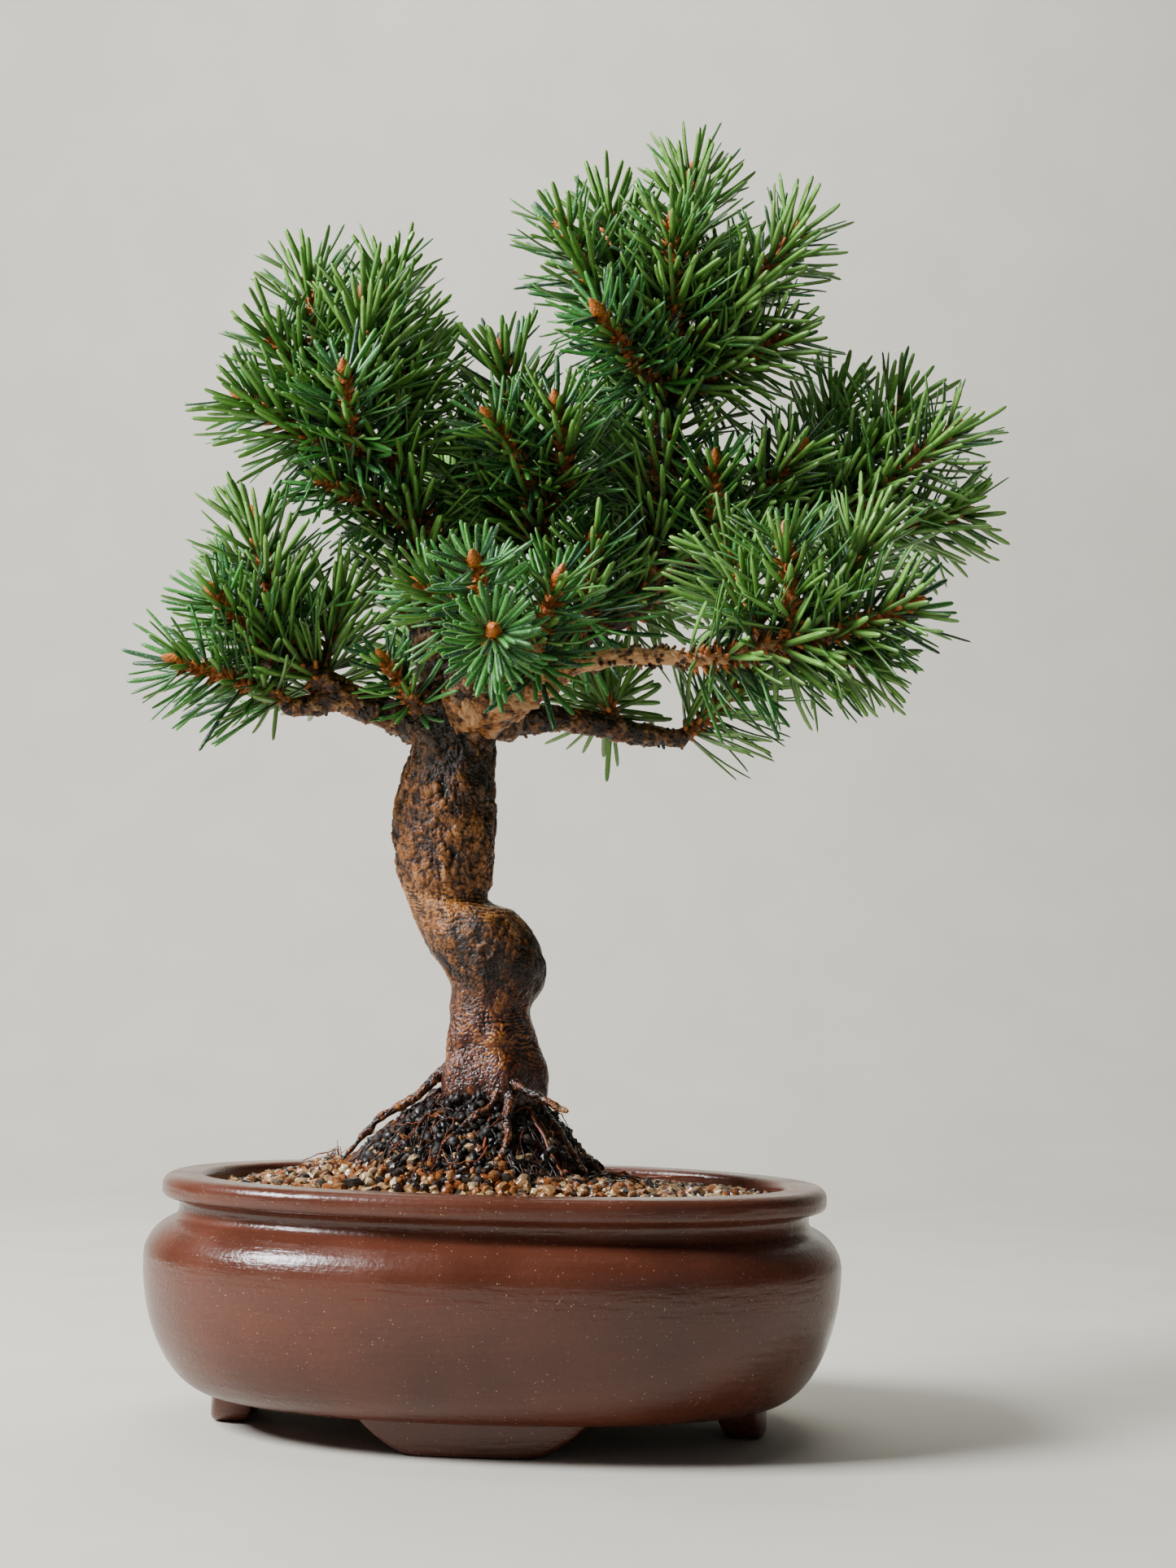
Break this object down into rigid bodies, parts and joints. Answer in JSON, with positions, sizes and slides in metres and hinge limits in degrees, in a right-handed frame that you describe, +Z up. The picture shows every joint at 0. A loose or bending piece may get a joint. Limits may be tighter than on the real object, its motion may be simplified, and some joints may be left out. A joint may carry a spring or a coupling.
{
  "type": "bonsai tree in a pot",
  "caption": "Young mountain pine trained as a bonsai, with a bent trunk, bare surface roots and dense needle shoots, in an oval unglazed clay pot on cloud feet.",
  "frame": {"origin": "centre of the whole object's bounding box, on the plane that its feet stand on", "axes": "+Z up along the tree; the pot's long side lies along X and its front faces -Y"},
  "size_m": [0.2608, 0.1762, 0.392],
  "materials": {
    "clay": "unglazed, burnished, half gloss",
    "soil": "damp peaty soil",
    "grit": "mixed rounded grit",
    "bark": "flaky bark, damp and glossy low down",
    "foliage": "waxy needles",
    "screen_plastic": "matte",
    "clip_wire": "satin"
  },
  "bodies": {
    "root": {"drainage_screen_left": "screen_plastic", "drainage_screen_right": "screen_plastic", "gravel": "grit", "needle_shoot_01": "foliage", "needle_shoot_02": "foliage", "needle_shoot_03": "foliage", "needle_shoot_04": "foliage", "needle_shoot_05": "foliage", "needle_shoot_06": "foliage", "needle_shoot_07": "foliage", "needle_shoot_08": "foliage", "needle_shoot_09": "foliage", "needle_shoot_10": "foliage", "needle_shoot_11": "foliage", "needle_shoot_12": "foliage", "needle_shoot_13": "foliage", "needle_shoot_14": "foliage", "needle_shoot_15": "foliage", "needle_shoot_16": "foliage", "needle_shoot_17": "foliage", "needle_shoot_18": "foliage", "needle_shoot_19": "foliage", "needle_shoot_20": "foliage", "needle_shoot_21": "foliage", "needle_shoot_22": "foliage", "needle_shoot_23": "foliage", "needle_shoot_24": "foliage", "needle_shoot_25": "foliage", "needle_shoot_26": "foliage", "needle_shoot_27": "foliage", "needle_shoot_28": "foliage", "needle_shoot_29": "foliage", "needle_shoot_30": "foliage", "needle_shoot_31": "foliage", "needle_shoot_32": "foliage", "needle_shoot_33": "foliage", "needle_shoot_34": "foliage", "needle_shoot_35": "foliage", "needle_shoot_36": "foliage", "needle_shoot_37": "foliage", "needle_shoot_38": "foliage", "needle_shoot_39": "foliage", "needle_shoot_40": "foliage", "needle_shoot_41": "foliage", "needle_shoot_42": "foliage", "needle_shoot_43": "foliage", "needle_shoot_44": "foliage", "needle_shoot_45": "foliage", "needle_shoot_46": "foliage", "needle_shoot_47": "foliage", "needle_shoot_48": "foliage", "needle_shoot_49": "foliage", "needle_shoot_50": "foliage", "pot": "clay", "root_mound": "soil", "screen_clip_left": "clip_wire", "screen_clip_right": "clip_wire", "soil": "soil", "trunk_and_branches": "bark"}
  },
  "joints": []
}
